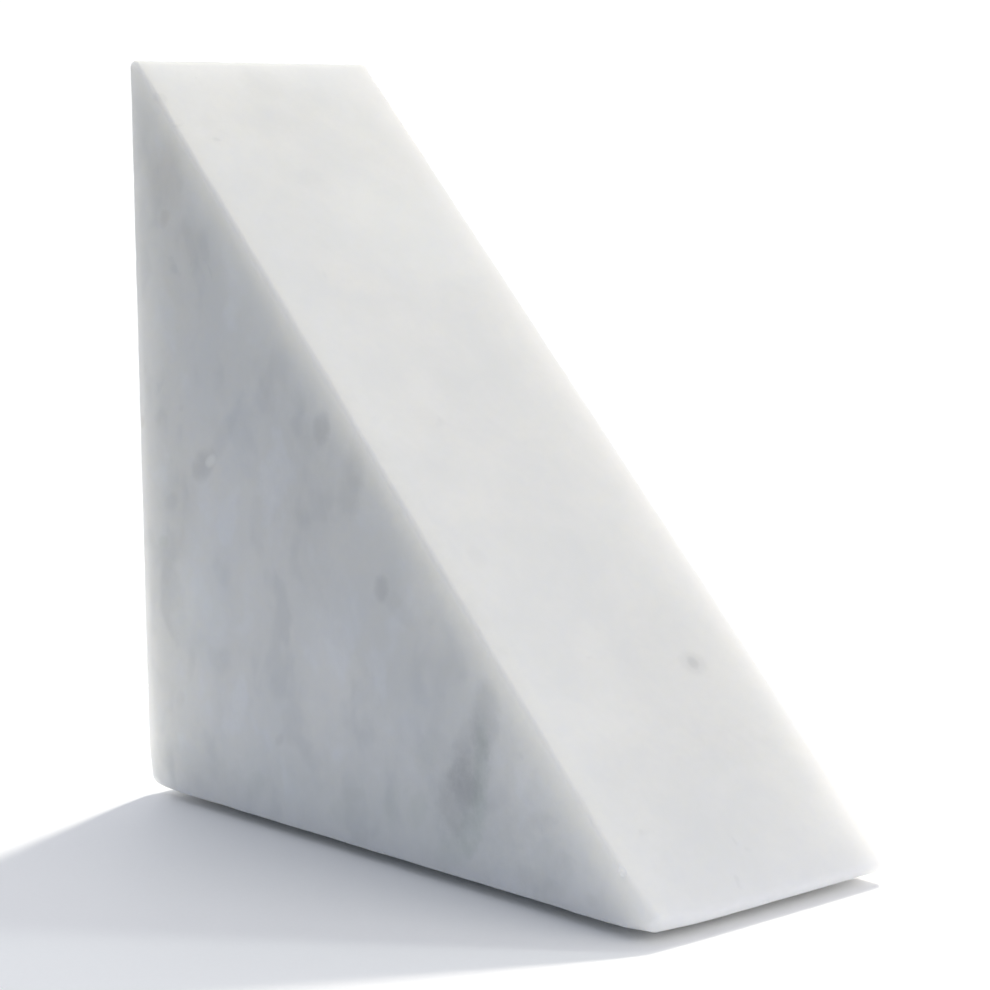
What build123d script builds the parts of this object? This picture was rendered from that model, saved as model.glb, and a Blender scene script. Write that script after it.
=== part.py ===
from build123d import *
import os
from math import sqrt

# Marble wedge book end.
#
# One piece of solid stone, cut as a right-angled wedge, stands on four small
# self-adhesive felt pads. Books lean on the upright face; the weight of the
# stone alone resists them, so nothing on the object moves.
#
# Frame: millimetres, +Z up, origin on the surface it stands on, under the
# middle of the footprint. -X is the upright book face, +X the toe of the
# 45 degree slope, and Y runs across the width between the two triangular
# faces, with the front at -Y.

# ---- driving dimensions (mm) ----
LENGTH = 127.0  # heel to rounded toe, along X
WIDTH = 50.8  # between the two triangular faces
ACUTE_RADIUS = 1.2  # the two sharp corners of the profile, at the ridge and the toe
EDGE_RADIUS = 0.8  # every other arris

FILM_DIAMETER = 9.0  # adhesive film disc, a little smaller than its pad
FILM_THICKNESS = 0.15
PAD_DIAMETER = 9.5  # felt pad, 3/8 in punched disc
PAD_THICKNESS = 1.45
PAD_RIM_RADIUS = 0.35  # soft lower rim of the felt

HEEL_INSET = 14.0  # pad centres from the upright book face
TOE_INSET = 19.0  # pad centres from the rounded toe
SIDE_INSET = 13.4  # pad centres from each triangular face

# ---- derived ----
STONE_Z = PAD_THICKNESS + FILM_THICKNESS  # the stone's underside
HEEL_X = -LENGTH / 2
TOE_X = LENGTH / 2
# Rounding a 45 degree corner with radius r takes sqrt(2) * r off its point,
# so both legs of the sharp triangle are cut that much longer. The legs are
# equal, so the rounded stone is as tall as it is long.
SHARP_LEG = LENGTH + sqrt(2) * ACUTE_RADIUS

PAD_HEEL_X = HEEL_X + HEEL_INSET
PAD_TOE_X = TOE_X - TOE_INSET
PAD_Y = WIDTH / 2 - SIDE_INSET

# The feet sit well inside the footprint. The two at the toe stand further in,
# where the wedge above them is thicker.
FEET = {  # place: (x, y) of the centre
    "heel_front": (PAD_HEEL_X, -PAD_Y),
    "heel_back": (PAD_HEEL_X, PAD_Y),
    "toe_front": (PAD_TOE_X, -PAD_Y),
    "toe_back": (PAD_TOE_X, PAD_Y),
}


def build_marble_block():
    """Stone wedge: an eased triangle in XZ, extruded both ways across the width."""
    with BuildPart() as block:
        # in the sketch's own axes, X is the world's X and Y is the world's Z
        with BuildSketch(Plane.XZ) as profile:
            with BuildLine():
                Polyline(
                    (HEEL_X, STONE_Z),
                    (HEEL_X + SHARP_LEG, STONE_Z),
                    (HEEL_X, STONE_Z + SHARP_LEG),
                    close=True,
                )
            make_face()
            # the square heel corner is the only one both low and at the book face
            heel = profile.vertices().group_by(Axis.Y)[0].sort_by(Axis.X)[0]
            fillet(heel, radius=EDGE_RADIUS)
            ridge = profile.vertices().sort_by(Axis.Y)[-1]
            fillet(ridge, radius=ACUTE_RADIUS)
            toe = profile.vertices().sort_by(Axis.X)[-1]
            fillet(toe, radius=ACUTE_RADIUS)
        extrude(amount=WIDTH / 2, both=True)
        # the outlines of the two triangular faces
        fillet(block.faces().filter_by(Axis.Y).edges(), radius=EDGE_RADIUS)
    return block.part


def build_adhesive_film(centre):
    """Thin disc that holds a felt pad to the stone."""
    with BuildPart() as film:
        with BuildSketch(Plane.XY.offset(PAD_THICKNESS)):
            with Locations(centre):
                Circle(FILM_DIAMETER / 2)
        extrude(amount=FILM_THICKNESS)
    return film.part


def build_felt_pad(centre):
    """Felt disc: the lower rim is worn round, the upper is a clean punched edge."""
    with BuildPart() as pad:
        with BuildSketch(Plane.XY):
            with Locations(centre):
                Circle(PAD_DIAMETER / 2)
        extrude(amount=PAD_THICKNESS)
        fillet(pad.edges().sort_by(Axis.Z)[0], radius=PAD_RIM_RADIUS)
    return pad.part


def save(part, name):
    """Label a piece and write its STEP file."""
    part.label = name
    export_step(part, f"parts/{name}.step")


os.makedirs("parts", exist_ok=True)
save(build_marble_block(), "marble_block")
for place, centre in FEET.items():
    save(build_adhesive_film(centre), f"adhesive_film_{place}")
    save(build_felt_pad(centre), f"felt_pad_{place}")
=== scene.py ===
"""Looks for the marble wedge book end: a honed stone block on four felt pads."""

import math

import bpy
import numpy as np
from mathutils import Matrix, Vector
from mathutils.geometry import delaunay_2d_cdt
from mathutils.kdtree import KDTree


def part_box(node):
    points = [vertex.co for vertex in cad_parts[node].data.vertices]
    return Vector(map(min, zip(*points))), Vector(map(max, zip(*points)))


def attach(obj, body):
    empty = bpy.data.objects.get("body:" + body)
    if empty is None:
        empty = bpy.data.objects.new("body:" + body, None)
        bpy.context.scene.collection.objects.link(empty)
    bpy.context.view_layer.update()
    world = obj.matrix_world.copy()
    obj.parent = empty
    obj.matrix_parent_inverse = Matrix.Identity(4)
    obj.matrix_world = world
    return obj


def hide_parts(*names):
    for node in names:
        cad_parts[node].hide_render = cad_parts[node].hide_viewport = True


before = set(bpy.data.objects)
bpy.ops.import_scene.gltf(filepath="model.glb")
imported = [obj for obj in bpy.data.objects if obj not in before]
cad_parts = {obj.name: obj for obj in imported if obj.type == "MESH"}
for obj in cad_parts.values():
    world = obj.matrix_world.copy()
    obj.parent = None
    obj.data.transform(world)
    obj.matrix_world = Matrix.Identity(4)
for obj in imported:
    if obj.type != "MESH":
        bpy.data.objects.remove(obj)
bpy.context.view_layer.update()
scene = bpy.context.scene
MM = 0.001

# ------------------------------------------------------------------ the stone
# All stone geometry is worked out in millimetres in the row frame. The block
# is the wedge between five planes, with every arris rounded by hand: a radius
# for the profile's three corners, another where the triangular faces meet the
# rest, and both grow at the corners that were eased most.
low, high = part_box("marble_block")
X0, Z0, HALF_W = low.x / MM, low.z / MM, high.y / MM
ACUTE_R, EDGE_R = 1.2, 0.8
LEG = (high.x - low.x) / MM + math.sqrt(2) * ACUTE_R
HYP = LEG * math.sqrt(2)
SQ = math.sqrt(0.5)

rng = np.random.default_rng(20417)


def waves(n, short, long, seed):
    """A smooth, repeatable 3-D noise, about -1 to 1, as a sum of plane waves."""
    r = np.random.default_rng(seed)
    direction = r.normal(size=(n, 3))
    direction /= np.linalg.norm(direction, axis=1)[:, None]
    length = np.exp(r.uniform(math.log(short), math.log(long), n))
    k = direction * (2 * math.pi / length)[:, None]
    phase = r.uniform(0, 2 * math.pi, n)
    gain = 1.6 / math.sqrt(n)
    return lambda p: gain * np.sin(p @ k.T + phase).sum(1)


edge_noise = waves(28, 5.0, 40.0, 11)
fine_noise = waves(36, 1.6, 6.0, 12)
grit = waves(40, 0.25, 0.9, 13)

# (corner, extra rounding across the arrises, extra in the profile, reach), in mm;
# the front toe corner is the one worn roundest, the ridge's ends the least
CORNERS = [
    ((X0, -HALF_W, Z0), 1.5, 1.4, 6.0),
    ((X0, HALF_W, Z0), 1.3, 1.2, 6.0),
    ((X0 + LEG, -HALF_W, Z0), 2.3, 0.7, 8.5),
    ((X0 + LEG, HALF_W, Z0), 0.15, 0.0, 5.0),
    ((X0, -HALF_W, Z0 + LEG), -0.25, 0.0, 5.0),
    ((X0, HALF_W, Z0 + LEG), -0.1, 0.0, 5.0),
]


def corner_growth(p):
    across, profile = np.zeros(len(p)), np.zeros(len(p))
    for c, extra_a, extra_p, reach in CORNERS:
        d = np.linalg.norm(p - np.array(c), axis=1)
        near = np.exp(-((d / reach) ** 2) * 1.6)
        across += extra_a * near
        profile += extra_p * near
    return across, profile


def profile_distance(x, z, r_heel, r_ridge, r_toe):
    """Signed distance, in XZ, to the right triangle with its corners rounded."""
    u, v = x - X0, z - Z0
    planes = np.stack([-v, -u, (u + v - LEG) * SQ])
    d = planes.max(0)
    cut = math.sqrt(2) + 1
    for cu, cv, r, e1, e2 in (
        (r_heel, r_heel, r_heel, (-1, 0), (0, -1)),
        (r_ridge, LEG - cut * r_ridge, r_ridge, (0, 1), (-SQ, SQ)),
        (LEG - cut * r_toe, r_toe, r_toe, (1, 0), (SQ, -SQ)),
    ):
        du, dv = u - cu, v - cv
        here = (du * e1[0] + dv * e1[1] > 0) & (du * e2[0] + dv * e2[1] > 0)
        d = np.where(here, np.hypot(du, dv) - r, d)
    return d


def make_chips():
    """Small knocks along the arrises: (arris, place along it, radius, depth)."""
    chips = []
    toe, ridge = X0 + LEG, Z0 + LEG
    lines = [
        ((X0, -HALF_W, Z0), (toe, -HALF_W, Z0), (0, -1, -1)),
        ((X0, HALF_W, Z0), (toe, HALF_W, Z0), (0, 1, -1)),
        ((X0, -HALF_W, Z0), (X0, -HALF_W, ridge), (-1, -1, 0)),
        ((X0, HALF_W, Z0), (X0, HALF_W, ridge), (-1, 1, 0)),
        ((X0, -HALF_W, ridge), (toe, -HALF_W, Z0), (SQ, -1, SQ)),
        ((X0, HALF_W, ridge), (toe, HALF_W, Z0), (SQ, 1, SQ)),
        ((X0, -HALF_W, Z0), (X0, HALF_W, Z0), (-1, 0, -1)),
        ((toe, -HALF_W, Z0), (toe, HALF_W, Z0), (1, 0, -0.414)),
        ((X0, -HALF_W, ridge), (X0, HALF_W, ridge), (-0.414, 0, 1)),
    ]
    # the two that catch the light: on the front slope arris near the toe, and
    # a run of specks on the lower front arris
    chips.append((lines[4], 0.934, 0.80, 0.32))
    for t in (0.874, 0.902, 0.913):
        chips.append((lines[0], t, 0.52, 0.18))
    for k, line in enumerate(lines):
        length = math.dist(line[0], line[1])
        for t in np.sort(rng.uniform(0.04, 0.96, int(length / 24))):
            size = 0.28 + 0.42 * rng.random() ** 2
            depth = size * rng.uniform(0.18, 0.36)
            # the front slope arris is whole along its middle
            if k != 4 or not 0.2 < t < 0.9:
                chips.append((line, t, size, depth))
    return chips


CHIPS = make_chips()


def radii(p):
    """How far each arris is rounded at p: across, at the heel, at ridge and toe."""
    soft = 1 + 0.07 * edge_noise(p) + 0.03 * fine_noise(p)
    across, profile = corner_growth(p)
    r_q = np.maximum((EDGE_R + across) * soft, 0.35)
    r_heel = np.maximum(EDGE_R + profile, r_q)
    # the ridge and toe are never sharper than the drawing, so the stone is never longer
    r_acute = ACUTE_R * (1.02 + 0.02 * np.clip(edge_noise(p), -1, 1)) + profile
    return r_q, r_heel, r_acute


def stone_field(p, r):
    """Signed distance (near the surface) to the finished stone."""
    r_q, r_heel, r_acute = r
    d1 = profile_distance(p[:, 0], p[:, 2], r_heel, r_acute, r_acute)
    a, b = d1 + r_q, np.abs(p[:, 1]) - HALF_W + r_q
    return np.minimum(np.maximum(a, b), 0) + np.hypot(np.maximum(a, 0), np.maximum(b, 0)) - r_q


def onto_surface(p, rounds=6, e=0.002):
    """Moves points to the surface; the radii are those where each point starts."""
    p = p.copy()
    r = radii(p)
    for _ in range(rounds):
        g = np.empty_like(p)
        for i in range(3):
            step = np.zeros(3)
            step[i] = e
            g[:, i] = (stone_field(p + step, r) - stone_field(p - step, r)) / (2 * e)
        n2 = np.maximum((g * g).sum(1), 0.2)
        p -= (stone_field(p, r) / n2)[:, None] * g
    return p


def relax_corners(p, tris, rounds=30):
    """Evens out the mesh where the rounding changes fast, so that it never folds."""
    reach = np.full(len(p), 9e9)
    for c, _, _, far in CORNERS:
        reach = np.minimum(reach, np.linalg.norm(p - np.array(c), axis=1) / (far * 1.7))
    mine = np.nonzero(reach < 1)[0]
    pull = np.zeros(len(p))
    pull[mine] = np.clip((1 - reach[mine]) * 3, 0, 1) * 0.6
    e = np.concatenate([tris[:, [0, 1]], tris[:, [1, 2]], tris[:, [2, 0]]])
    e = e[(pull[e] > 0).any(1)]
    e = np.unique(np.sort(e, axis=1), axis=0)
    e = np.concatenate([e, e[:, ::-1]])
    count = np.bincount(e[:, 0], minlength=len(p))[mine][:, None]
    for _ in range(rounds):
        mean = np.stack([np.bincount(e[:, 0], p[e[:, 1], k], len(p)) for k in range(3)], -1)[mine]
        p[mine] += pull[mine][:, None] * (mean / np.maximum(count, 1) - p[mine])
        p[mine] = onto_surface(p[mine], 2)
    return p


def chip_spheres():
    """Each knock as a ball that bites straight in: (foot on the arris, outward, ball radius, depth, reach)."""
    out = []
    for (a, b, outward), t, radius, depth in CHIPS:
        a, b, n = np.array(a, float), np.array(b, float), np.array(outward, float)
        n /= np.linalg.norm(n)
        foot = onto_surface((a + (b - a) * t)[None])[0]
        out.append((foot, n, radius * 1.5, depth, radius))
    return out


SPHERES = chip_spheres()


def bite(p):
    """Sinks the points under each ball along that ball's own axis."""
    p = p.copy()
    depth_in = np.zeros(len(p))
    for foot, n, big, depth, _ in SPHERES:
        centre = foot + n * (big - depth)
        w = p - centre
        h = w @ n
        side = w - h[:, None] * n
        l2 = (side**2).sum(1)
        inside = h * h + l2 < big * big
        if inside.any():
            ragged = 1 + 0.10 * grit(p[inside])
            t = (h[inside] + np.sqrt(big * big - l2[inside])) * ragged
            p[inside] -= t[:, None] * n
            depth_in[inside] = np.maximum(depth_in[inside], t)
    return p, depth_in


# rings of points around each flat face, closest together where the arris rolls
RINGS = [0.0, 0.15, 0.31, 0.49, 0.7, 0.98, 1.36, 1.9, 2.6, 3.5]
while RINGS[-1] < 40:
    RINGS.append(RINGS[-1] + (RINGS[-1] - RINGS[-2]) * 1.22)
ALONG = 0.44
FINE = 0.13


def edge_points(a, b):
    """Shared sampling of one sharp edge, denser beside knocks."""
    a, b = np.array(a, float), np.array(b, float)
    if tuple(a) > tuple(b):
        return edge_points(b, a)[::-1]
    length = np.linalg.norm(b - a)
    t = np.linspace(0, 1, max(2, round(length / ALONG)) + 1)
    extra = []
    for foot, _, _, _, radius in SPHERES:
        s = float(np.dot(foot - a, b - a)) / length**2
        off = np.linalg.norm(foot - (a + (b - a) * s))
        if off < 2.5 and 0 < s < 1:
            reach = (radius * 1.5) / length
            t = t[(t < s - reach) | (t > s + reach)]
            extra.append(np.linspace(s - reach, s + reach, int(2 * reach * length / FINE)))
    keep = [0.0]
    for v in np.sort(np.concatenate([t, *extra])):
        if (v - keep[-1]) * length > FINE * 0.6 and (1 - v) * length > FINE * 0.6:
            keep.append(v)
    keep.append(1.0)
    return a + (b - a) * np.array(keep)[:, None]


def face_points(corners):
    """3-D points of one flat face and its triangles."""
    corners = [np.array(c, float) for c in corners]
    origin = corners[0]
    ex = corners[1] - origin
    ex /= np.linalg.norm(ex)
    nrm = np.cross(ex, corners[2] - origin)
    nrm /= np.linalg.norm(nrm)
    ey = np.cross(nrm, ex)
    flat = lambda p: np.stack([(p - origin) @ ex, (p - origin) @ ey], -1)
    poly = flat(np.array(corners))
    n = len(poly)
    boundary = []
    for i in range(n):
        boundary.append(flat(edge_points(corners[i], corners[(i + 1) % n]))[:-1])
    edge_dirs, edge_norms = [], []
    for i in range(n):
        d = poly[(i + 1) % n] - poly[i]
        d /= np.linalg.norm(d)
        edge_dirs.append(d)
        edge_norms.append(np.array([-d[1], d[0]]))
    inside = []
    for k, s in enumerate(RINGS[1:], 1):
        # the inset polygon's corners
        pts = []
        for i in range(n):
            j = (i - 1) % n
            m = np.array([edge_norms[j], edge_norms[i]])
            rhs = np.array([edge_norms[j] @ poly[j] + s, edge_norms[i] @ poly[i] + s])
            pts.append(np.linalg.solve(m, rhs))
        pts = np.array(pts)
        if any((pts[i] - poly[j]) @ edge_norms[j] < s - 1e-6 for i in range(n) for j in range(n)):
            break
        h = max(ALONG, (RINGS[k] - RINGS[k - 1]) * 0.95)
        for i in range(n):
            a, b = pts[i], pts[(i + 1) % n]
            m = max(1, round(np.linalg.norm(b - a) / h))
            inside.append(a + (b - a) * (np.arange(m) / m)[:, None])
    inside = np.concatenate(inside)
    # finer, hexagonal points beside each knock that touches this face
    fine = []
    for foot, _, _, _, radius in SPHERES:
        if abs((foot - origin) @ nrm) < 1.6:
            c = flat(foot[None])[0]
            reach = radius * 1.5
            steps = np.arange(-int(reach / FINE) - 1, int(reach / FINE) + 2)
            gx, gy = np.meshgrid(steps * FINE, steps * FINE * 0.866)
            gx = gx + (np.arange(len(steps)) % 2)[:, None] * FINE / 2
            q = np.stack([gx.ravel(), gy.ravel()], -1)
            q = q[np.hypot(q[:, 0], q[:, 1]) < reach] + c
            inside = inside[np.hypot(*(inside - c).T) > reach + FINE * 0.5]
            fine.append(q)
    if fine:
        fine = np.concatenate(fine)
        room = np.min([(fine - poly[i]) @ edge_norms[i] for i in range(n)], 0)
        inside = np.concatenate([inside, fine[room > FINE * 0.55]])
    loop = np.concatenate(boundary)
    pts2 = np.concatenate([loop, inside])
    m = len(loop)
    verts, _, tris, _, _, _ = delaunay_2d_cdt(
        [Vector(p) for p in pts2], [(i, (i + 1) % m) for i in range(m)], [], 0, 0.0, False
    )
    v2 = np.array([[v.x, v.y] for v in verts])
    tris = np.array([list(t) for t in tris])
    # a triangle between three points of one straight edge is only rounding error
    off = np.stack([(v2 - poly[i]) @ edge_norms[i] for i in range(n)]) < 1e-4
    tris = tris[~off[:, tris].all(2).any(0)]
    return origin + v2[:, :1] * ex + v2[:, 1:] * ey, tris, nrm


def weld(points, tris):
    """Joins the five faces along their shared edges."""
    tree = KDTree(len(points))
    for i, p in enumerate(points):
        tree.insert(p, i)
    tree.balance()
    same = np.arange(len(points))
    u, v = points[:, 0] - X0, points[:, 2] - Z0
    slack = np.stack([v, u, (LEG - u - v) * SQ, HALF_W - points[:, 1], HALF_W + points[:, 1]])
    for i in np.nonzero((slack < 1e-3).sum(0) > 1)[0]:
        same[i] = min(j for _, j, _ in tree.find_range(points[i], 0.02))
    used, back = np.unique(same, return_inverse=True)
    tris = back.reshape(-1)[tris]
    whole = (tris[:, 0] != tris[:, 1]) & (tris[:, 1] != tris[:, 2]) & (tris[:, 2] != tris[:, 0])
    return points[used], tris[whole]


def build_stone():
    toe, ridge = X0 + LEG, Z0 + LEG
    c = {
        "C": (X0, -HALF_W, Z0), "c": (X0, HALF_W, Z0),
        "D": (toe, -HALF_W, Z0), "d": (toe, HALF_W, Z0),
        "A": (X0, -HALF_W, ridge), "a": (X0, HALF_W, ridge),
    }
    points, tris, start = [], [], 0
    for loop in ("CDA", "dca", "cdDC", "cCAa", "DdaA"):
        p, t, nrm = face_points([c[k] for k in loop])
        # wind every triangle so that its normal points out
        n = np.cross(p[t[:, 1]] - p[t[:, 0]], p[t[:, 2]] - p[t[:, 0]])
        middle = np.array([X0 + LEG / 3, 0, Z0 + LEG / 3])
        flip = ((p[t].mean(1) - middle) * n).sum(1) < 0
        t[flip] = t[flip][:, ::-1]
        points.append(p)
        tris.append(t + start)
        start += len(p)
    points, tris = np.concatenate(points), np.concatenate(tris)
    points, tris = weld(points, tris)
    points, depth_in = bite(relax_corners(onto_surface(points), tris))
    mesh = bpy.data.meshes.new("marble_stone")
    mesh.from_pydata((points * MM).tolist(), [], tris.tolist())
    mesh.validate()
    mesh.shade_smooth()
    # how freshly broken the surface is, for the stone's colour and roughness
    fresh = mesh.attributes.new("fresh", "FLOAT", "POINT")
    fresh.data.foreach_set("value", np.clip(depth_in / 0.06, 0, 1).astype(np.float32))
    obj = bpy.data.objects.new("marble_stone", mesh)
    scene.collection.objects.link(obj)
    print("stone", len(points), "vertices", len(tris), "triangles")
    return obj


stone = build_stone()


# ------------------------------------------------------------------ materials
class Nodes:
    """Shorthand for wiring a material's nodes."""

    def __init__(self, name):
        self.mat = bpy.data.materials.new(name)
        self.mat.use_nodes = True
        self.tree = self.mat.node_tree
        self.tree.nodes.clear()
        self.out = self.add("ShaderNodeOutputMaterial")

    def add(self, kind, inputs=None, **props):
        node = self.tree.nodes.new(kind)
        for k, v in props.items():
            setattr(node, k, v)
        for k, v in (inputs or {}).items():
            self.put(node.inputs[k], v)
        return node

    def put(self, socket, value):
        if isinstance(value, bpy.types.NodeSocket):
            self.tree.links.new(value, socket)
        else:
            socket.default_value = value

    def math(self, op, a, b=0.0, c=0.0, clamp=False):
        node = self.add("ShaderNodeMath", operation=op, use_clamp=clamp)
        for i, v in enumerate((a, b, c)):
            self.put(node.inputs[i], v)
        return node.outputs[0]

    def vmath(self, op, a, b=(0, 0, 0), scale=None):
        node = self.add("ShaderNodeVectorMath", operation=op)
        self.put(node.inputs[0], a)
        if scale is not None:
            self.put(node.inputs["Scale"], scale)
        else:
            self.put(node.inputs[1], b)
        return node.outputs["Value"] if op in ("LENGTH", "DOT_PRODUCT") else node.outputs[0]

    def span(self, value, a, b, c=0.0, d=1.0, smooth=True):
        node = self.add(
            "ShaderNodeMapRange",
            interpolation_type="SMOOTHSTEP" if smooth else "LINEAR",
        )
        for k, v in (("Value", value), ("From Min", a), ("From Max", b), ("To Min", c), ("To Max", d)):
            self.put(node.inputs[k], v)
        return node.outputs[0]

    def noise(self, vector, size, detail=3.0, rough=0.5, distort=0.0, lac=2.0):
        """Noise whose blobs are about size across, in the vector's unit."""
        node = self.add(
            "ShaderNodeTexNoise",
            {"Vector": vector, "Scale": 1.0 / size, "Detail": detail, "Roughness": rough,
             "Lacunarity": lac, "Distortion": distort},
        )
        return node.outputs["Fac"]

    def mix(self, fac, a, b, blend="MIX"):
        node = self.add("ShaderNodeMix", data_type="RGBA", blend_type=blend, clamp_factor=True)
        self.put(node.inputs[0], fac)
        self.put(node.inputs[6], a)
        self.put(node.inputs[7], b)
        return node.outputs[2]


def rgb(r, g, b):
    return (r, g, b, 1.0)


# Marks in the stone, in mm: (x, y, z) centre, turn in degrees in the XZ plane,
# half sizes along, across and into the face, how dark, and which tone: grey, green
# and brown minerals, white for pale grain and for painted glow, and blue for painted cool shade
FRONT, GREY, GREEN, BROWN, WHITE, BLUE_SHADE = -HALF_W, 0, 1, 2, 3, 4
BACK, UPRIGHT = HALF_W, X0
MARKS = [
    # the broad smoky vein low on the front face, running up to the slope, with
    # a green selvage along its right side
    ((27.4, FRONT, 27.6), 80, (5.5, 3.0, 7), 0.105, GREY),
    ((23.6, FRONT, 20.0), 68, (6.5, 4.0, 8), 0.130, GREY),
    ((21.0, FRONT, 14.0), 66, (6.5, 4.0, 8), 0.175, GREY),
    ((26.2, FRONT, 19.8), 86, (7.5, 1.7, 4), 0.120, GREEN),
    ((24.2, FRONT, 10.6), 66, (5.0, 2.4, 4), 0.110, GREEN),
    ((19.4, FRONT, 5.4), 20, (4.0, 2.4, 4), 0.080, GREEN),
    ((11.0, FRONT, 10.6), 60, (3.2, 2.0, 4), 0.060, GREEN),
    ((13.5, FRONT, 20.0), 60, (4.0, 2.0, 4), 0.045, GREEN),
    ((4.5, FRONT, 10.0), 70, (3.2, 2.0, 4), 0.045, GREEN),
    # the eye: a dark crescent about a pale grain, with a tail
    ((-44.4, FRONT, 60.4), 35, (3.4, 2.2, 2), 0.145, GREY),
    ((-42.3, FRONT, 61.2), 30, (1.5, 0.9, 1), 0.36, WHITE),
    ((-38.6, FRONT, 65.6), 52, (4.6, 1.7, 2), 0.06, GREY),
    # single specks and smudges on the front face
    ((-11.6, FRONT, 68.9), 80, (3.0, 2.0, 2), 0.130, GREY),
    ((-4.2, FRONT, 61.0), 75, (6.0, 2.8, 4), 0.075, GREY),
    ((3.0, FRONT, 44.7), 70, (2.1, 1.6, 2), 0.130, GREY),
    ((7.5, FRONT, 42.0), -28, (4.5, 1.7, 2), 0.050, GREY),
    ((-29.0, FRONT, 52.0), 84, (5.0, 2.4, 3), 0.050, GREY),
    ((-54.0, FRONT, 53.2), 30, (2.0, 1.3, 2), 0.060, GREY),
    ((-56.8, FRONT, 46.0), 10, (1.5, 1.0, 2), 0.070, GREEN),
    ((-62.6, FRONT, 66.5), 70, (1.2, 0.9, 2), 0.12, BROWN),
    ((-49.4, FRONT, 25.2), 80, (2.8, 1.0, 2), 0.055, GREY),
    ((-52.8, FRONT, 18.6), 60, (1.6, 1.2, 2), 0.045, GREY),
    ((-24.5, FRONT, 16.0), 40, (1.3, 0.9, 2), 0.080, GREY),
    ((-54.0, FRONT, 101.8), 40, (1.6, 1.2, 2), 0.08, BROWN),
    ((-53.5, FRONT, 109.0), 70, (6.5, 4.5, 5), 0.06, BROWN),
    ((-46.0, FRONT, 97.5), -30, (5.0, 3.0, 4), 0.04, BROWN),
    ((39.5, FRONT, 14.0), 10, (3.2, 1.4, 2), 0.05, GREY),
    ((38.0, FRONT, 5.0), 0, (4.0, 1.8, 2), 0.06, GREY),
    ((50.4, FRONT, 4.4), 0, (1.4, 0.9, 2), 0.06, GREY),
    ((-5.5, FRONT, 10.2), 10, (3.0, 1.2, 2), 0.04, GREY),
    ((-31.3, FRONT, 7.1), 30, (3.0, 2.0, 3), 0.050, GREEN),
    ((-8.5, FRONT, 6.7), 20, (3.5, 2.0, 3), 0.045, GREEN),
    ((-46.0, FRONT, 6.0), -8, (13.0, 4.5, 4), 0.050, GREY),
    # broad soft patches: painted shade darker through the middle, a painted cool blue shade beside it, and paler
    # patches by the heel edge that are painted glow, partly the stone's own paler tone
    ((4.0, FRONT, 42.0), -45, (44.0, 14.0, 9), 0.075, GREY),
    ((8.0, FRONT, 11.0), 0, (34.0, 11.0, 9), 0.045, GREY),
    ((-8.0, FRONT, 6.0), 0, (46.0, 8.0, 8), 0.050, GREEN),
    ((-20.0, FRONT, 46.0), 75, (20.0, 8.0, 8), 0.025, GREY),
    # painted glow by the heel edge, partly the stone's own paler tone
    ((-47.0, FRONT, 31.0), 84, (19.0, 7.0, 9), 0.160, WHITE),
    ((-59.0, FRONT, 86.0), 88, (17.0, 4.0, 9), 0.160, WHITE),
    ((-52.0, FRONT, 36.0), 84, (7.0, 4.5, 6), 0.120, WHITE),
    ((-51.0, FRONT, 54.0), 84, (5.0, 4.5, 5), 0.035, GREY),
    # painted cool blue shade on the shaded front face
    ((-34.0, FRONT, 66.0), 60, (9.0, 5.0, 6), 0.060, BLUE_SHADE),
    ((-43.0, FRONT, 42.0), 82, (15.0, 7.0, 6), 0.060, BLUE_SHADE),
    ((-8.0, FRONT, 38.0), 40, (9.0, 5.0, 6), 0.070, BLUE_SHADE),
    ((12.0, FRONT, 26.0), 60, (8.0, 4.0, 6), 0.050, BLUE_SHADE),
    ((-46.0, FRONT, 74.0), 82, (9.0, 6.0, 6), 0.050, BLUE_SHADE),
    # on the slope
    ((-55.0, -6.0, 121.9), -45, (8.0, 12.0, 16), 0.045, GREY),
    ((-33.0, 9.0, 99.8), -45, (14.0, 12.0, 16), 0.140, WHITE),
    ((50.0, -3.0, 16.8), -45, (12.0, 12.0, 24), 0.035, GREY),
    ((36.0, 10.0, 30.8), -45, (15.0, 12.0, 15), 0.035, GREY),
    ((34.6, 12.0, 32.2), -45, (2.2, 2.4, 2.4), 0.080, GREY),
    ((34.6, 12.0, 32.2), -45, (1.1, 1.4, 1.0), 0.120, GREY),
    ((-40.9, -3.0, 107.7), -45, (3.0, 3.0, 3.0), 0.030, GREY),
    ((-58.0, -1.5, 124.8), -45, (3.5, 3.0, 4.0), 0.030, GREY),
    ((-50.0, -18.0, 116.8), -45, (3.5, 3.0, 2.5), 0.022, BROWN),
    ((16.4, -17.2, 50.4), -45, (2.0, 2.0, 1.6), 0.030, BROWN),
    ((-3.4, -10.5, 70.2), -45, (3.0, 2.0, 2.5), 0.020, BROWN),
    # on the faces the photograph doesn't show, more of the same
    ((-30.0, BACK, 40.0), 58, (26.0, 4.0, 7), 0.110, GREY),
    ((-46.0, BACK, 74.0), 70, (16.0, 3.2, 6), 0.080, GREY),
    ((-8.0, BACK, 30.0), 64, (15.0, 2.4, 5), 0.070, GREEN),
    ((18.0, BACK, 20.0), 40, (7.0, 3.6, 5), 0.100, GREY),
    ((-20.0, BACK, 64.0), 25, (2.6, 1.6, 3), 0.120, GREY),
    ((4.0, BACK, 46.0), 70, (2.2, 1.4, 3), 0.100, GREY),
    ((-50.0, BACK, 22.0), 35, (3.0, 1.8, 3), 0.100, GREY),
    ((UPRIGHT, 4.0, 78.0), 78, (17.0, 5.0, 6.0), 0.070, GREY),
    ((UPRIGHT, 10.0, 42.0), 84, (13.0, 5.0, 3.4), 0.100, GREY),
    ((UPRIGHT, -8.0, 56.0), 80, (2.4, 2.4, 1.6), 0.100, GREY),
]


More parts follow.
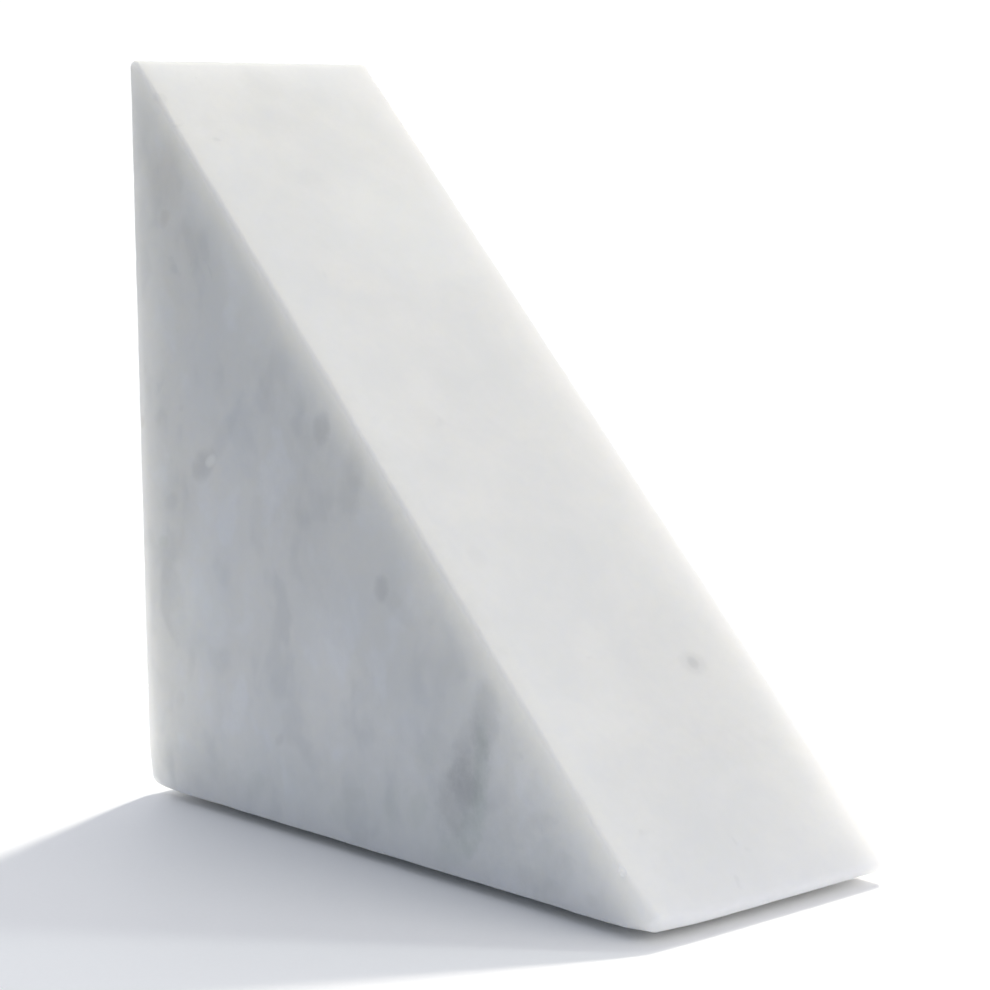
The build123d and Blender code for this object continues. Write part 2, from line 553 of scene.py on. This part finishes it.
def marble_material():
    n = Nodes("honed_marble")
    place = n.add("ShaderNodeTexCoord").outputs["Object"]
    mm = n.vmath("SCALE", place, scale=1000.0)
    # everything in the stone is pulled about by one slow warp
    warp_node = n.add("ShaderNodeTexNoise", {"Vector": mm, "Scale": 1 / 26.0, "Detail": 3.0, "Roughness": 0.55})
    warp = n.vmath("SCALE", n.vmath("SUBTRACT", warp_node.outputs["Color"], (0.5, 0.5, 0.5)), scale=16.0)
    bent = n.vmath("ADD", mm, warp)
    # bedding: the clouds are drawn out along a steep plane
    bed = n.add("ShaderNodeMapping", {"Vector": bent, "Rotation": (0.12, math.radians(-24), 0.35), "Scale": (1.0, 0.8, 0.42)}).outputs[0]
    slow = n.noise(bed, 24.0, 4.0, 0.55)
    mid = n.noise(n.vmath("ADD", bed, (31, 7, 53)), 7.5, 5.0, 0.6)
    fine = n.noise(mm, 1.5, 3.0, 0.6)
    clouds = n.math("ADD", n.math("MULTIPLY", slow, 0.62), n.math("MULTIPLY", mid, 0.38))
    cloud = n.span(clouds, 0.36, 0.66)
    white = rgb(0.829, 0.831, 0.821)
    ash = rgb(0.778, 0.789, 0.793)
    colour = n.mix(cloud, white, ash)
    # the stone is smokier away from the slope and the front face
    depth = n.add("ShaderNodeSeparateXYZ", {"Vector": mm}).outputs[1]
    under_slope = n.math("SUBTRACT", (LEG + X0 + Z0) * SQ, n.vmath("DOT_PRODUCT", mm, (SQ, 0, SQ)))
    rear = n.math("MULTIPLY", n.span(depth, 10.0, 24.0), n.span(under_slope, 5.0, 15.0))
    smoke = n.span(n.noise(n.vmath("ADD", bed, (57, 23, 11)), 15.0, 5.0, 0.6), 0.44, 0.62)
    colour = n.mix(n.math("MULTIPLY", n.math("MULTIPLY", rear, smoke), 0.60), colour, rgb(0.64, 0.655, 0.67))
    # on the front face only, grey and blue-white drifts: the stone's clouds, with a painted cool blue cast of the
    # shaded face
    near_front = n.math("MULTIPLY", n.span(depth, -10.0, -22.0), n.span(under_slope, 1.0, 9.0))
    loose = n.vmath("MULTIPLY", n.vmath("ADD", bent, (19, 64, 2)), (1.0, 0.8, 0.74))
    drift = n.noise(loose, 10.0, 2.5, 0.5)
    colour = n.mix(n.math("MULTIPLY", near_front, n.span(drift, 0.50, 0.68, 0.0, 0.40)), colour, rgb(0.610, 0.628, 0.645))
    colour = n.mix(n.math("MULTIPLY", near_front, n.span(drift, 0.46, 0.32, 0.0, 0.40)), colour, rgb(0.87, 0.89, 0.93))
    # painted warm glow along the front slope arris, standing in for light that has passed through the thin edge of the
    # stone
    to_front = n.math("ADD", depth, HALF_W)
    to_arris = n.math("SQRT", n.math("ADD", n.math("MULTIPLY", to_front, to_front), n.math("MULTIPLY", under_slope, under_slope)))
    colour = n.mix(n.span(to_arris, 5.5, 0.5, 0.0, 0.55), colour, rgb(0.845, 0.835, 0.775))
    # fine crystalline mottling
    colour = n.mix(n.span(fine, 0.35, 0.7, 0.0, 0.22), colour, rgb(0.775, 0.78, 0.785))
    # faint threads where two clouds meet
    thread_src = n.noise(n.vmath("ADD", bed, (5, 91, 17)), 30.0, 5.0, 0.62)
    thread = n.math("SUBTRACT", 1.0, n.span(n.math("ABSOLUTE", n.math("SUBTRACT", thread_src, 0.5)), 0.0, 0.018))
    where = n.span(n.noise(n.vmath("ADD", mm, (71, 3, 40)), 22.0, 2.0, 0.5), 0.52, 0.68)
    faint = n.span(rear, 0.0, 1.0, 0.0, 0.40, smooth=False)
    colour = n.mix(n.math("MULTIPLY", n.math("MULTIPLY", thread, where), faint), colour, rgb(0.55, 0.57, 0.58))
    # sparse smoky flecks all through the block
    fleck_src = n.noise(n.vmath("ADD", bent, (13, 44, 9)), 5.0, 2.0, 0.5)
    fleck = n.math("MULTIPLY", n.span(fleck_src, 0.66, 0.78), n.span(n.noise(mm, 33.0, 1.0), 0.50, 0.62))
    colour = n.mix(n.math("MULTIPLY", fleck, 0.16), colour, rgb(0.50, 0.52, 0.54))
    # the marks that can be seen from the front
    ragged = n.noise(mm, 2.6, 4.0, 0.65)
    ragged = n.math("SUBTRACT", ragged, 0.5)
    mark_tones = {GREY: rgb(0.35, 0.365, 0.38), GREEN: rgb(0.38, 0.46, 0.41), BROWN: rgb(0.42, 0.39, 0.34), WHITE: rgb(0.95, 0.96, 0.95), BLUE_SHADE: rgb(0.72, 0.78, 0.90)}
    amount = {}
    for centre, turn, half, dark, tone_key in MARKS:
        away = n.vmath("SUBTRACT", mm, centre)
        c, s_ = math.cos(math.radians(turn)), math.sin(math.radians(turn))
        along = n.vmath("DOT_PRODUCT", away, (c / half[0], 0, s_ / half[0]))
        across = n.vmath("DOT_PRODUCT", away, (-s_ / half[1], 0, c / half[1]))
        into = n.vmath("DOT_PRODUCT", away, (0, 1 / half[2], 0))
        r2 = n.math("ADD", n.math("ADD", n.math("MULTIPLY", along, along), n.math("MULTIPLY", across, across)), n.math("MULTIPLY", into, into))
        r2 = n.math("ADD", r2, n.math("MULTIPLY", ragged, 1.5))
        m = n.span(r2, 1.9, 0.0, 0.0, dark)
        amount[tone_key] = n.math("ADD", amount[tone_key], m) if tone_key in amount else m
    # lay on each tone: grey, green and brown minerals, white (pale grain, and painted glow by the heel edge) and the
    # painted cool blue shade
    for tone_key, tone in mark_tones.items():
        colour = n.mix(n.math("MULTIPLY", amount[tone_key], 1.6, clamp=True), colour, tone)
    # fresh knocks are bare, whiter crystal
    fresh = n.add("ShaderNodeAttribute", attribute_name="fresh").outputs["Fac"]
    colour = n.mix(n.math("MULTIPLY", fresh, 0.6), colour, rgb(0.90, 0.90, 0.89))
    # honed skin: crystal faces, hone marks and a little bump
    grain = n.add("ShaderNodeTexVoronoi", {"Vector": mm, "Scale": 1 / 0.55, "Randomness": 1.0}, feature="F1")
    crystal = n.add("ShaderNodeSeparateColor", {"Color": grain.outputs["Color"]}).outputs[0]
    smear = n.noise(n.vmath("MULTIPLY", mm, (0.25, 0.25, 1.0)), 3.0, 3.0, 0.6)
    rough = n.math("ADD", 0.50, n.math("MULTIPLY", n.math("SUBTRACT", crystal, 0.5), 0.10))
    rough = n.math("ADD", rough, n.math("MULTIPLY", n.math("SUBTRACT", smear, 0.5), 0.14))
    rough = n.math("ADD", rough, n.math("MULTIPLY", fresh, 0.35))
    height = n.math("ADD", n.math("MULTIPLY", n.noise(mm, 0.35, 3.0, 0.6), 0.012), n.math("MULTIPLY", n.noise(mm, 6.0, 2.0, 0.5), 0.05))
    bump = n.add("ShaderNodeBump", {"Strength": 0.25, "Distance": MM, "Height": height})
    skin = n.add(
        "ShaderNodeBsdfPrincipled",
        {"Base Color": colour, "Roughness": rough, "IOR": 1.5, "Specular IOR Level": 0.42, "Normal": bump.outputs[0],
         "Subsurface Weight": 1.0, "Subsurface Radius": (1.0, 0.955, 0.83), "Subsurface Scale": 14.0 * MM},
        subsurface_method="RANDOM_WALK",
    )
    n.put(n.out.inputs["Surface"], skin.outputs[0])
    return n.mat


def felt_material():
    n = Nodes("pressed_felt")
    mm = n.vmath("SCALE", n.add("ShaderNodeTexCoord").outputs["Object"], scale=1000.0)
    fibres = []
    for turn in (0.2, 1.25, 2.3):
        lay = n.add("ShaderNodeMapping", {"Vector": mm, "Rotation": (0.0, 0.3, turn), "Scale": (0.16, 1.0, 1.0)}).outputs[0]
        fibres.append(n.noise(lay, 0.16, 2.0, 0.6, 0.6))
    weave = n.math("MAXIMUM", n.math("MAXIMUM", fibres[0], fibres[1]), fibres[2])
    tone = n.noise(mm, 1.3, 3.0, 0.6)
    colour = n.mix(n.span(weave, 0.45, 0.8), rgb(0.50, 0.485, 0.45), rgb(0.78, 0.765, 0.73))
    colour = n.mix(n.span(tone, 0.3, 0.75, 0.0, 0.4), colour, rgb(0.60, 0.585, 0.55))
    height = n.math("MULTIPLY", weave, 0.10)
    bump = n.add("ShaderNodeBump", {"Strength": 0.7, "Distance": MM, "Height": height})
    cloth = n.add(
        "ShaderNodeBsdfPrincipled",
        {"Base Color": colour, "Roughness": 0.95, "Specular IOR Level": 0.15, "Sheen Weight": 0.35, "Sheen Roughness": 0.5, "Normal": bump.outputs[0]},
    )
    n.put(n.out.inputs["Surface"], cloth.outputs[0])
    return n.mat


def adhesive_material():
    n = Nodes("adhesive_film")
    mm = n.vmath("SCALE", n.add("ShaderNodeTexCoord").outputs["Object"], scale=1000.0)
    patch = n.noise(mm, 1.6, 4.0, 0.6)
    colour = n.mix(n.span(patch, 0.35, 0.7), rgb(0.80, 0.77, 0.68), rgb(0.88, 0.86, 0.80))
    bump = n.add("ShaderNodeBump", {"Strength": 0.2, "Distance": MM, "Height": n.math("MULTIPLY", patch, 0.03)})
    film = n.add(
        "ShaderNodeBsdfPrincipled",
        {"Base Color": colour, "Roughness": n.span(patch, 0.3, 0.7, 0.28, 0.5), "Specular IOR Level": 0.5, "Normal": bump.outputs[0],
         "Subsurface Weight": 0.5, "Subsurface Radius": (1, 0.9, 0.7), "Subsurface Scale": 0.1 * MM},
    )
    n.put(n.out.inputs["Surface"], film.outputs[0])
    return n.mat


marble, felt, adhesive = marble_material(), felt_material(), adhesive_material()
stone.data.materials.append(marble)
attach(stone, "root")
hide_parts("marble_block")


# ------------------------------------------------------------------ the felt pads
def build_pad(node, seed):
    """A punched felt disc, pressed a little barrel-shaped, with a fibrous rim."""
    lo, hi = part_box(node)
    cx, cy = (lo.x + hi.x) / 2 / MM, (lo.y + hi.y) / 2 / MM
    r0, top = (hi.x - lo.x) / 2 / MM, hi.z / MM
    fuzz = waves(44, 0.30, 1.3, seed)
    lump = waves(20, 2.0, 6.0, seed + 50)
    around = 132
    # profile from the middle of the underside, out, up the side, and back in
    outline = [(r0 * t, 0.0) for t in np.linspace(0.12, 0.86, 10)]
    outline += [(r0 - 0.42 + 0.34 * math.sin(a), 0.34 - 0.34 * math.cos(a)) for a in np.linspace(0.15, math.pi / 2, 6)]
    outline += [(r0 - 0.08 + 0.05 * math.sin(math.pi * t), 0.34 + (top - 0.44) * t) for t in np.linspace(0.15, 0.95, 6)]
    outline += [(r0 - 0.20, top - 0.02), (r0 - 0.40, top)]
    outline += [(r0 * t, top) for t in np.linspace(0.84, 0.12, 8)]
    turn = np.arange(around) * 2 * math.pi / around
    rings = []
    for r, z in outline:
        ring = np.stack([cx + r * np.cos(turn), cy + r * np.sin(turn), np.full(around, z)], -1)
        rings.append(ring)
    pts = np.concatenate([*rings, [[cx, cy, 0.0]], [[cx, cy, top]]])
    out = pts - (cx, cy, 0)
    rad = np.hypot(out[:, 0], out[:, 1])
    rim = np.clip((rad - r0 * 0.8) / (r0 * 0.2), 0, 1)
    free = np.clip(np.minimum(pts[:, 2], top - pts[:, 2]) / 0.15, 0, 1)
    push = rim * free * (0.055 * fuzz(pts) + 0.05 * lump(pts) - 0.06)
    pts[:, :2] += out[:, :2] / np.maximum(rad, 1e-6)[:, None] * push[:, None]
    # the underside is worn and a little uneven, but never below the floor
    under = (pts[:, 2] < 0.2) & (rad > r0 * 0.5)
    pts[under, 2] += np.clip(0.02 + 0.02 * fuzz(pts[under]), 0, 0.06) * rim[under]
    faces, m = [], len(outline)
    for k in range(m - 1):
        for i in range(around):
            j = (i + 1) % around
            faces.append((k * around + i, k * around + j, (k + 1) * around + j, (k + 1) * around + i))
    a, b = m * around, m * around + 1
    for i in range(around):
        j = (i + 1) % around
        faces.append((a, j, i))
        faces.append((b, (m - 1) * around + i, (m - 1) * around + j))
    mesh = bpy.data.meshes.new(node + "_felt")
    mesh.from_pydata((pts * MM).tolist(), [], faces)
    mesh.validate()
    mesh.shade_smooth()
    mesh.materials.append(felt)
    pad = bpy.data.objects.new(node + "_felt", mesh)
    scene.collection.objects.link(pad)
    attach(pad, "root")
    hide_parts(node)
    return pad


pads = [build_pad(name, 300 + k) for k, name in enumerate(sorted(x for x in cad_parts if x.startswith("felt_pad")))]

# the adhesive films keep their CAD shape
films = [obj for name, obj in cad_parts.items() if name.startswith("adhesive_film")]
for film in films:
    film.data.materials.clear()
    film.data.materials.append(adhesive)

# ------------------------------------------------------------------ the setting
floor_mesh = bpy.data.meshes.new("floor")
R = 30.0
floor_mesh.from_pydata([(-R, -R, 0), (R, -R, 0), (R, R, 0), (-R, R, 0)], [], [(0, 1, 2, 3)])
n = Nodes("pale_floor")
on_paper = n.add("ShaderNodeTexCoord").outputs["Object"]
grain = n.noise(n.vmath("SCALE", on_paper, scale=1000.0), 0.8, 2.0, 0.6)
# past the lit patch the studio is dim, so there the paper throws back less than it shows
shown = n.add("ShaderNodeLightPath").outputs["Is Camera Ray"]
thrown = n.span(n.vmath("LENGTH", on_paper), 0.09, 0.26, 0.95, 0.40)
across = n.add("ShaderNodeSeparateXYZ", {"Vector": on_paper})
thrown = n.math("MULTIPLY", thrown, n.span(across.outputs[1], 0.025, 0.085, 1.0, 0.42))
thrown = n.math("MULTIPLY", thrown, n.span(across.outputs[0], -0.115, -0.062, 0.50, 1.0))
unseen = n.math("MULTIPLY", thrown, n.math("SUBTRACT", 1.0, shown))
tone = n.math("MULTIPLY", n.math("ADD", unseen, n.math("MULTIPLY", shown, 0.90)), n.span(grain, 0.3, 0.7, 0.995, 1.005))
paper = n.add("ShaderNodeBsdfPrincipled", {"Base Color": n.add("ShaderNodeCombineColor", {"Red": tone, "Green": tone, "Blue": tone}).outputs[0], "Roughness": 0.7, "Specular IOR Level": 0.25})
n.put(n.out.inputs["Surface"], paper.outputs[0])
floor_mesh.materials.append(n.mat)
floor = bpy.data.objects.new("floor", floor_mesh)
scene.collection.objects.link(floor)

# a white sweep to the camera; to the stone, soft light from the sweep behind, from
# both sides and overhead, and next to none from the camera's side
world = bpy.data.worlds.new("studio")
scene.world = world
world.use_nodes = True
n = Nodes.__new__(Nodes)
n.tree = world.node_tree
n.tree.nodes.clear()
way_in = n.add("ShaderNodeTexCoord").outputs["Generated"]
total = None
for axis, glow in (
    ((0, 0, 1), (0.517, 0.528, 0.585)),
    ((0, 1, 0), (1.500, 1.445, 1.500)),
    ((1, 0, 0), (0.911, 0.946, 1.031)),
    ((-1, 0, 0), (0.860, 0.930, 1.010)),
    ((0, -1, 0), (0.020, 0.050, 0.090)),
):
    facing = n.math("MAXIMUM", n.vmath("DOT_PRODUCT", way_in, axis), 0.0)
    lobe = n.vmath("SCALE", glow, scale=n.math("MULTIPLY", facing, facing))
    total = lobe if total is None else n.vmath("ADD", total, lobe)
soft_light = n.add("ShaderNodeBackground", {"Color": total, "Strength": 1.0})
seen = n.add("ShaderNodeBackground", {"Color": rgb(1, 1, 1), "Strength": 1.05})
pick = n.add("ShaderNodeMixShader")
n.put(pick.inputs[0], n.add("ShaderNodeLightPath").outputs["Is Camera Ray"])
n.put(pick.inputs[1], soft_light.outputs[0])
n.put(pick.inputs[2], seen.outputs[0])
n.put(n.add("ShaderNodeOutputWorld").inputs["Surface"], pick.outputs[0])

# the lamps behind the stone are flagged: some are turned up for the paper alone,
# so that it washes out to white, the others only reach the stone
paper_only = bpy.data.collections.new("paper_only")
paper_only.objects.link(floor)
stone_only = bpy.data.collections.new("stone_only")
for obj in (stone, *pads, *films):
    stone_only.objects.link(obj)


def sun(name, heading, elevation, on_floor, width, colour, lights):
    """A broad, far lamp. on_floor is the brightness it gives a white floor."""
    lamp = bpy.data.lights.new(name, "SUN")
    e = math.radians(elevation)
    lamp.energy = on_floor * math.pi / math.sin(e)
    lamp.angle = math.radians(width)
    lamp.color = colour
    obj = bpy.data.objects.new(name, lamp)
    h = math.radians(heading)
    way = Vector((math.cos(h) * math.cos(e), math.sin(h) * math.cos(e), -math.sin(e)))
    obj.rotation_euler = way.to_track_quat("-Z", "Y").to_euler()
    scene.collection.objects.link(obj)
    obj.light_linking.receiver_collection = lights
    return obj


sun("paper_high", -66, 56, 1.0, 5.0, (0.080, 0.086, 0.081), paper_only)
sun("paper_low", -66, 41, 1.0, 5.0, (0.380, 0.360, 0.322), paper_only)
sun("paper_right", 200, 25, 1.0, 40.0, (0.116, 0.112, 0.101), paper_only)
sun("stone_high", -66, 56, 1.0, 45.0, (0.292, 0.275, 0.195), stone_only)

# a low card close to the stone's upright face, throwing light into the foot of it
# and past the heel
card = bpy.data.lights.new("card_left", "AREA")
card.shape, card.size, card.size_y = "RECTANGLE", 0.04, 0.09
card.energy = 0.085
card.color = (0.42, 0.41, 0.41)
card_obj = bpy.data.objects.new("card_left", card)
card_obj.location = (-0.145, 0.022, 0.021)
card_obj.rotation_euler = (0, -math.pi / 2, 0)
card_obj.visible_camera = False
scene.collection.objects.link(card_obj)

# ------------------------------------------------------------------ the camera
AZ, EL, DIST, ROLL, FOCAL = 48.42936, 7.49121, 427.096, -0.56027, 2618.57
target = Vector((1.4508, 0.0, 57.027)) * MM
a, e = math.radians(AZ), math.radians(EL)
back = Vector((math.sin(a) * math.cos(e), -math.cos(a) * math.cos(e), math.sin(e)))
right = (-back).cross(Vector((0, 0, 1))).normalized()
down = (-back).cross(right)
c, s_ = math.cos(math.radians(ROLL)), math.sin(math.radians(ROLL))
right, down = right * c - down * s_, right * s_ + down * c
eye = target + back * DIST * MM
turn = Matrix((right, -down, back)).transposed()
cam_data = bpy.data.cameras.new("camera")
cam_data.sensor_width = 36.0
cam_data.lens = FOCAL * 36.0 / 990.0
cam_data.clip_start = 0.01
cam_data.clip_end = 200.0
cam = bpy.data.objects.new("camera", cam_data)
cam.matrix_world = Matrix.Translation(eye) @ turn.to_4x4()
scene.collection.objects.link(cam)
scene.camera = cam

scene.view_settings.view_transform = "Standard"
scene.view_settings.look = "None"
